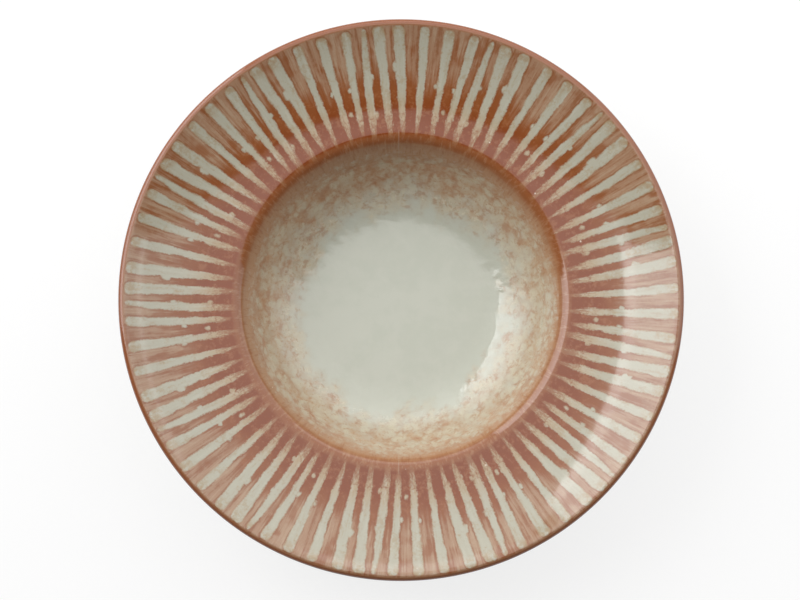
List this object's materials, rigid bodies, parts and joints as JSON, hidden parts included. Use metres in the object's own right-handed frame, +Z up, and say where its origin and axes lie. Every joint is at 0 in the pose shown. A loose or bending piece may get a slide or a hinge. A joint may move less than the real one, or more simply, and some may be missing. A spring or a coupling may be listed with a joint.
{
  "type": "pasta bowl",
  "caption": "Round pasta bowl of glazed stoneware with a wide, gently hollow rim, a deep round well, and a low foot ring left bare where it stands.",
  "frame": {"origin": "centre of the foot ring, in the plane that the bowl stands on", "axes": "+Z up along the bowl's axis; the bowl is round, so +X and +Y are alike in shape; seen from above with +X to the right, +Y is the top of the pictured bowl"},
  "size_m": [0.28, 0.28, 0.0566],
  "materials": {
    "clay": "bare fired stoneware, warm buff, matt, showing only at the foot ring",
    "face_glaze": "glossy glaze: rust brown rim under pale sage cream brushed rays, mottled rust to cream well, pale floor",
    "back_glaze": "glossy pale sage cream glaze, plain, with the rust brown of the edge running just under the rim"
  },
  "bodies": {
    "root": {"clay_body": "clay", "face_glaze": "face_glaze", "back_glaze": "back_glaze", "foot_glaze": "back_glaze"}
  },
  "joints": []
}
